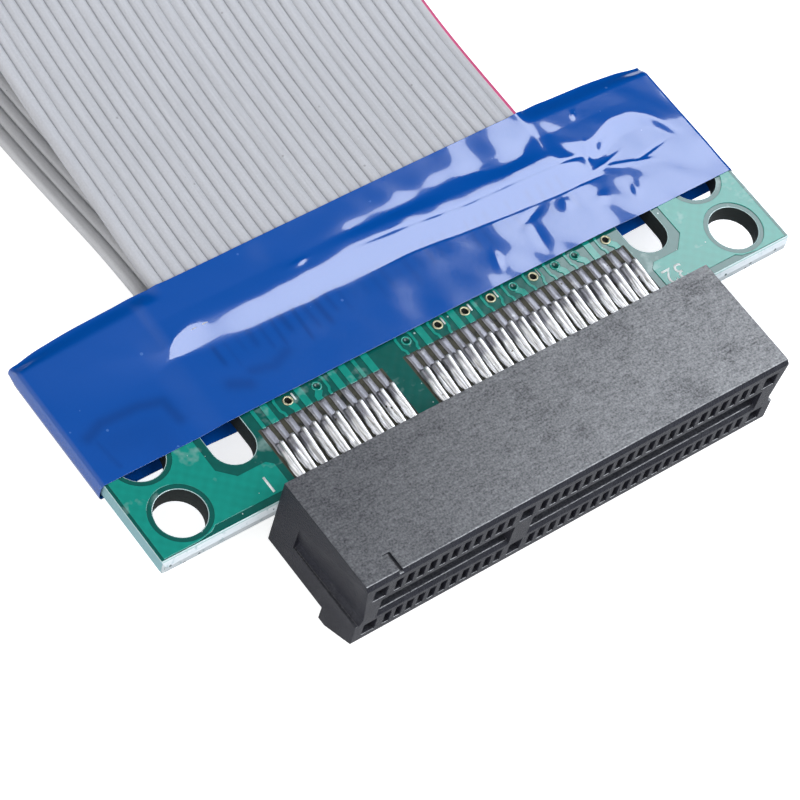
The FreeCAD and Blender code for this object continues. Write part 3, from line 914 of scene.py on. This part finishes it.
def ribbon(name, node, route, lift, look, marked_not_lightened, seed):
    """A ribbon along a route, raised by lift at X and Y. It has a marker if its flag is 1; if the flag is 0
    its grey is painted lighter, painted light that makes up for the upper ribbon's shadow on it.
    """
    draw = np.random.default_rng(seed)
    section = ribbon_section(draw)
    line = smooth_line(route)
    points = []
    for i, spot in enumerate(line):
        heading = (line[min(i + 1, len(line) - 1)] - line[max(i - 1, 0)]).normalized()
        across = Vector((0, -heading.z, heading.y))
        for x, height, groove in section:
            wander = wire_wander * noise.noise(Vector((x * 400, spot.y * 60, seed)))
            point = spot + across * (height * ribbon_thick / 2)
            points.append((x + wander, point.y, point.z + lift(x, spot.y)))
    piece = mesh_piece(name, points, tube_faces(len(line), len(section)), look, unit=1.0)
    paint(piece, "groove", [groove for x, height, groove in section] * len(line))
    paint(piece, "marked_not_lightened", [marked_not_lightened] * len(points))
    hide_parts(node)
    middle = [(0, spot.y, spot.z + lift(0, spot.y)) for spot in line]


vinyl, tree = surface("ribbon_vinyl", {"Roughness": 0.46, "Specular IOR Level": 0.4})
vinyl_marked_not_lightened = painted(tree, "marked_not_lightened")
vinyl_edge = calc("GREATER_THAN", split(tree, "Object")["X"], ribbon_half - marker_width)
# The lower ribbon takes the lighter grey, a painted light.
vinyl_grey_lower_lightened = mix(vinyl_marked_not_lightened, lower_painted_light_grey, ribbon_grey)
# The grooves are darkened by painted shade.
vinyl_plain = mix(painted(tree, "groove"), vinyl_grey_lower_lightened, groove_shade_grey)
vinyl_mark = mix(calc("MULTIPLY", vinyl_edge, vinyl_marked_not_lightened), vinyl_plain, marker_pink)
vinyl_dust = use(tree, specks, {
    "Color": vinyl_mark, "Fleck Color": dust_grey, "Spacing": 0.3 * MM, "Share": 0.006})
vinyl_streak = clouds(tree, vinyl_scale, 2.0, 0.6, vinyl_drawn)
vinyl_run = tone(vinyl_dust["Color"], calc("MULTIPLY_ADD", vinyl_streak, 0.26, 0.87))
vinyl_grain = use(tree, grain, {"Color": vinyl_run, "Grain Size": 0.14 * MM, "Contrast": 0.26})
feed({
    "Base Color": vinyl_grain["Color"], "Normal": bump(vinyl_grain["Height"], vinyl_relief)})


def ease(share):
    """A smooth step from 0 to 1."""
    share = np.clip(share, 0, 1)
    return share * share * (3 - 2 * share)


def upper_lift(x, y):
    """The upper ribbon leaves the tape a little twisted: its left edge rises first."""
    share = (y - twist_start) / (twist_top - twist_start)
    if y >= twist_top:
        share = (twist_end - y) / (twist_end - twist_top)
    return ease(share) * (0.25 - 0.45 * x / ribbon_half) * MM


ribbon("upper_ribbon_cable", "upper_ribbon", upper_route, upper_lift, vinyl, 1.0, 3)
ribbon("lower_ribbon_cable", "lower_ribbon", lower_route, lambda x, y: 0.0, vinyl, 0.0, 8)

# Tape: one turn of glossy blue film round each board. It lies tight on the mask, rises over the wire ends
# and the ribbons' cut ends, hangs like a tent beside them, and is creased where fingers pressed it down.
film_thick = 0.035
film_gap = 0.105
film_front = 17.4
film_rear = 29.0
film_across, under_across, side_across = 326, 62, 7
side_bulge = 0.22
table_gap = 0.01
wave_count, wave_lengths, wave_height = 14, (1.6, 6.0), 0.0009
film_relief = 0.004 * MM
film_blue = (0.0018, 0.08, 0.39, 1)
film_shade = (0.001, 0.036, 0.19, 1)
film_dust = (0.05, 0.16, 0.5, 1)
film_cut = (0.002, 0.03, 0.15, 1)
crest_line = [
    (-24, 26), (-20.6, 24.9), (-19.4, 24.25), (-18.2, 24.75), (-17, 25.25), (-16, 25.4),
    (-12, 25.05), (-6, 25), (-2, 25.2), (3, 24.8), (8, 24.3), (14, 24.1), (20, 23.8)]
foot_line = [
    (-24, 22.8), (-20.6, 23.3), (-19.4, 23.7), (-18, 23.55), (-16, 23.35), (-12, 23),
    (2.5, 23), (7, 22.5), (11, 22.2), (15, 21.9), (20, 21.8)]
plain_foot, plain_run = 23.2, 1.8
apron_line = [(17.3, 0.22), (20.2, 0.27), (21.4, 0.3), (40, 0.33)]
slope_height = 0.6
rear_line = [(0, 29.3), (16.5, 29.25), (18.5, 29.58), (24, 29.57), (27.5, 29.38), (28.9, 29.06)]
rear_height = [
    (0, 1.79), (16.8, 1.79), (18, 1.44), (20.2, 1.14), (24.8, 0.78), (28.1, 0.48), (28.9, 0.44)]
drop_start, drop_side, drop_run = 28.0, 16.6, 1.0
tent_line = [(0, 1), (16.9, 1), (17.6, 0.9), (20, 0.66), (24, 0.36), (28.9, 0)]
tent_front = [
    (16.5, 25), (17.2, 26), (18.9, 25), (20.4, 24.4), (22, 25), (23.2, 25.5), (25.3, 25.4),
    (26.6, 24.5), (27.5, 22.9), (28.9, 22)]
lip_height = [(-6, 0), (-3, 0.05), (0, 0.08), (14, 0.08), (16.5, 0.05), (18, 0)]
trough_line = [
    (-4, 26.3), (0, 26.4), (5, 26.5), (8.4, 26.75), (11, 26.4), (12.4, 25.8), (14.4, 25.8),
    (16, 26.5), (18, 28)]
trough_depth = [(-5, 0), (-1, 0.07), (3, 0.08), (9, 0.07), (15, 0.07), (17, 0)]
groove_depth, groove_width = 0.04, 0.14
# Each fold has its X and Y, its heading in degrees, its length, its width and its height.
film_folds = [
    (20.5, 22.6, 12, 1.3, 0.16, 0.05), (22.6, 21.7, -18, 1.6, 0.16, 0.05), (24.4, 21.9, 8, 1.3, 0.14, -0.04),
    (19.6, 23.8, 70, 1, 0.16, 0.05), (-6.4, 25.95, 4, 0.7, 0.22, 0.06), (-18.2, 29, 62, 0.7, 0.16, 0.07),
    (20.9, 27.3, 58, 0.35, 0.14, 0.05), (7.3, 19.3, 70, 0.6, 0.28, 0.05), (15.3, 20.9, 40, 0.6, 0.45, 0.05),
    (18.3, 20.1, 20, 0.6, 0.35, 0.05), (21.2, 19.4, 60, 0.7, 0.4, 0.05), (12.2, 21.3, 15, 1.1, 0.3, -0.05),
    (11.6, 19.6, 80, 1, 0.4, -0.04)]
# Each shade has a width, a strength and the line that it follows.
shade_lines = [
    (0.5, 0.45, [(-28, 21.2), (-26.5, 21.8), (-23.4, 21.7), (-21.6, 21.2), (-21.4, 19.4)]),
    (1.5, 0.16, [(-26.4, 20), (-23.2, 19.6), (-23.6, 18.2)]),
    (0.22, 0.3, [(-27.6, 20.6), (-27.3, 18.2)]),
    (0.55, 0.42, [(-16.6, 19.9), (-15.4, 19.3)]),
    (0.45, 0.34, [(-14.6, 20.1), (-12.9, 19.7), (-11.4, 20.3)])]


def blurred(spot, line, reach):
    """A drawn line with its corners rounded over a reach."""
    return np.mean([drawn(spot + shift, line) for shift in np.linspace(-reach, reach, 9)], axis=0)


def rise(share, sharp=14.0):
    """A straight rise from 0 to 1 with rounded ends."""
    return (np.logaddexp(0, sharp * share) - np.logaddexp(0, sharp * (share - 1))) / sharp


def bell(offset, width):
    """A rounded bump of height 1."""
    return np.exp(-(offset / width) ** 2)


def slack(x, y, seed):
    """Slow waves that a film keeps when it is laid on by hand."""
    draw = np.random.default_rng(seed)
    total = np.zeros_like(x)
    tight = 0.5 + 0.5 * ease((x + 14) / 8)
    for wave in range(wave_count):
        length = draw.uniform(*wave_lengths)
        heading = draw.uniform(0, 2 * math.pi)
        start = draw.uniform(0, 2 * math.pi)
        across = x * math.cos(heading) + y * math.sin(heading)
        total += wave_height * length * np.sin(2 * math.pi * across / length + start)
    return total * tight


def plain_sheet(x, y):
    """Height of a film without folds."""
    hump = blurred(y, apron_line, 0.35) + slope_height * rise((y - plain_foot) / plain_run)
    tented = blurred(np.abs(x), tent_line, 0.5)
    pressed = ease((20.5 - np.abs(x)) / 3.6)
    cover = pressed + (np.maximum(tented, pressed) - pressed) * ease((y - 22.0) / 6.0)
    return face_level + film_gap + hump * cover + slack(x, y, 9)


def creased_sheet(x, y):
    """Height of the film on the socket board's upper face."""
    crest, foot = blurred(x, crest_line, 0.7), blurred(x, foot_line, 0.7)
    hump = blurred(y, apron_line, 0.35) + slope_height * rise((y - foot) / (crest - foot))
    hump += 0.045 * np.clip(y - 26.6, 0, None)
    pressed = ease((21.2 + x) / 2.8) * ease((21.5 - x) / 5.0)
    tented = np.maximum(blurred(np.abs(x), tent_line, 0.5), pressed)
    left_lift = ease((y - 21.0) / 7.5)
    right_lift = ease((y - blurred(x, tent_front, 0.4) + 1.4) / 1.7)
    cover = pressed + (tented - pressed) * np.where(x < 0, left_lift, right_lift)
    lip = drawn(x, lip_height) * bell(y - crest - 0.75, 0.6)
    trough = drawn(x, trough_depth) * bell(y - blurred(x, trough_line, 0.6), 0.7)
    groove = bell(y - crest, groove_width) + bell(y - foot, groove_width)
    groove = groove_depth * (ease((x + 3) / 4) * ease((20 - x) / 2) * groove)
    height = face_level + film_gap + hump * cover + lip - trough - groove + slack(x, y, 4)
    for fold_x, fold_y, heading, length, width, fold_height in film_folds:
        turn = math.radians(heading)
        along_fold = (x - fold_x) * math.cos(turn) + (y - fold_y) * math.sin(turn)
        across_fold = (y - fold_y) * math.cos(turn) - (x - fold_x) * math.sin(turn)
        height += fold_height * bell(along_fold, length) * bell(across_fold, width)
    return height


def laid(sheet, x, share):
    """Y and height of a film at a share of the way from its rear edge, where its corners are drawn down."""
    rear = blurred(np.abs(x), rear_line, 0.8)
    y = rear + (film_front - rear) * share
    height = sheet(x, y)
    drop = ease((y - drop_start) / (rear - drop_start)) * ease((np.abs(x) - drop_side) / drop_run)
    return y, height + (blurred(np.abs(x), rear_height, 0.4) - height) * drop


def shade_and_show_through(x, y):
    """How dark the film is painted: partly painted shade, in dashes between the wire ends and along given
    lines, partly the copper's edges and the wire ends showing through the film.
    """
    shade = np.zeros_like(x)
    for width, strength, line in shade_lines:
        for (x0, y0), (x1, y1) in zip(line, line[1:]):
            reach = (x1 - x0) ** 2 + (y1 - y0) ** 2
            share = np.clip(((x - x0) * (x1 - x0) + (y - y0) * (y1 - y0)) / reach, 0, 1)
            apart = np.hypot(x - x0 - share * (x1 - x0), y - y0 - share * (y1 - y0))
            shade = np.maximum(shade, strength * bell(apart, width))
    draw = np.random.default_rng(5)
    for gap in range(-16, 17):
        strength = draw.uniform(0.15, 0.6) * (1.0 if gap < -5 else 0.4)
        tail, lean, width = draw.uniform(19.7, 21.2), draw.uniform(-0.08, 0.08), draw.uniform(0.16, 0.3)
        run = ease((y - tail) / 0.9) * ease((23.5 - y) / 0.5)
        shade = np.maximum(shade, strength * run * bell(x - gap - lean * (y - 21.5), width))
    return shade


def film(name, node, level, side, sheet, stations, turned):
    """A tube of film round a board, made station by station from its outer edge inward."""
    top_x = np.linspace(-side, side, film_across)
    under_x = np.linspace(side, -side, under_across)
    turn = np.linspace(0, 1, side_across)[1:-1]
    bulge = side_bulge * (1 - np.abs(1 - 2 * turn) ** 3) ** 0.5
    points, shades = [], []
    for share in stations:
        top_y, top_z = laid(sheet, top_x, share)
        under_y, under_z = laid(plain_sheet, under_x, share)
        under_z = np.minimum(under_z, level - cad_box[0].z / MM - table_gap)
        right_drop, left_drop = under_z[0] + top_z[-1], under_z[-1] + top_z[0]
        points += list(zip(top_x, top_y, top_z))
        points += [(side + b, top_y[-1], top_z[-1] - t * right_drop) for t, b in zip(turn, bulge)]
        points += list(zip(under_x, under_y, -under_z))
        points += [(-side - b, top_y[0], t * left_drop - under_z[-1]) for t, b in zip(turn, bulge)]
        shades += list(shade_and_show_through(top_x, top_y)) + [0.0] * (len(under_x) + 2 * len(turn))
    ring = len(top_x) + len(under_x) + 2 * len(turn)
    faces = [face[::-1] for face in tube_faces(len(stations), ring)[2:]]
    if turned:
        outer_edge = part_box(node)[0].y / MM
        points = [(x, outer_edge + film_rear - y, z) for x, y, z in points]
        faces = [face[::-1] for face in faces]
    piece = mesh_piece(name, np.array(points) + (0, 0, level), faces, taped, cut_film)
    paint(piece, "shade", shades)
    thickness = piece.modifiers.new("film", "SOLIDIFY")
    thickness.thickness = film_thick * MM
    thickness.offset = -1.0
    thickness.material_offset_rim = 1
    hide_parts(node)


taped, tree = surface("tape_film", {
    "Roughness": 0.14, "Coat Roughness": 0.03, "Coat IOR": 1.65, "Specular IOR Level": 0.7})
# The shade attribute darkens the blue: partly painted shade, partly what shows through the film.
taped_dust = use(tree, specks, {
    "Color": mix(painted(tree, "shade"), film_blue, film_shade), "Fleck Color": film_dust,
    "Spacing": 0.4 * MM, "Share": 0.012})
taped_grain = use(tree, grain, {"Color": taped_dust["Color"], "Grain Size": 0.18 * MM, "Contrast": 0.1})
taped_level = calc("MULTIPLY", calc("ABSOLUTE", split(tree, "Normal")["Z"]), 1.25)
feed({
    "Base Color": taped_grain["Color"],
    "Coat Weight": calc("MINIMUM", taped_level, 1.0),
    "Normal": bump(taped_grain["Height"], film_relief)})
cut_film = grained_look(
    "tape_cut_edge", {"Roughness": 0.7, "Specular IOR Level": 0.1}, film_cut, grain_size=0.1, contrast=0.5)[0]
creased_stations = np.concatenate([
    [0, 0.0015], np.linspace(0.004, 0.21, 21), np.linspace(0.21, 0.672, 73)[1:],
    np.linspace(0.672, 0.996, 22)[1:], [0.9985, 1]])
film("socket_film", "socket_tape", 0.0, board_high.x / MM, creased_sheet, creased_stations, False)

# Plug end: a second board of the same laminate whose tongue carries gilt fingers and fits a card slot.
# The ribbons' far ends are soldered to it and taped as at the socket.
tongue_opening = (-17.4, 17.4, 241.6, 260.0)
plug_break = 0.05 * MM
finger_gold = (0.72, 0.52, 0.2, 1)
plug_stations = np.concatenate([[0, 0.0015], np.linspace(0.004, 0.996, 48), [0.9985, 1]])

dress(board_look("plug_mask", [tongue_opening], -1.0, 0.0), "plug_board")
soften(plug_break, "plug_board")
gilded = gilt_look("finger_gilt", finger_gold, grain_size=0.1, contrast=0.3, rough=0.18, relief=0.006)
dress(gilded, "upper_fingers", "lower_fingers")
film("plug_film", "plug_tape", plug_level / MM, plug_high.x / MM, plain_sheet, plug_stations, True)
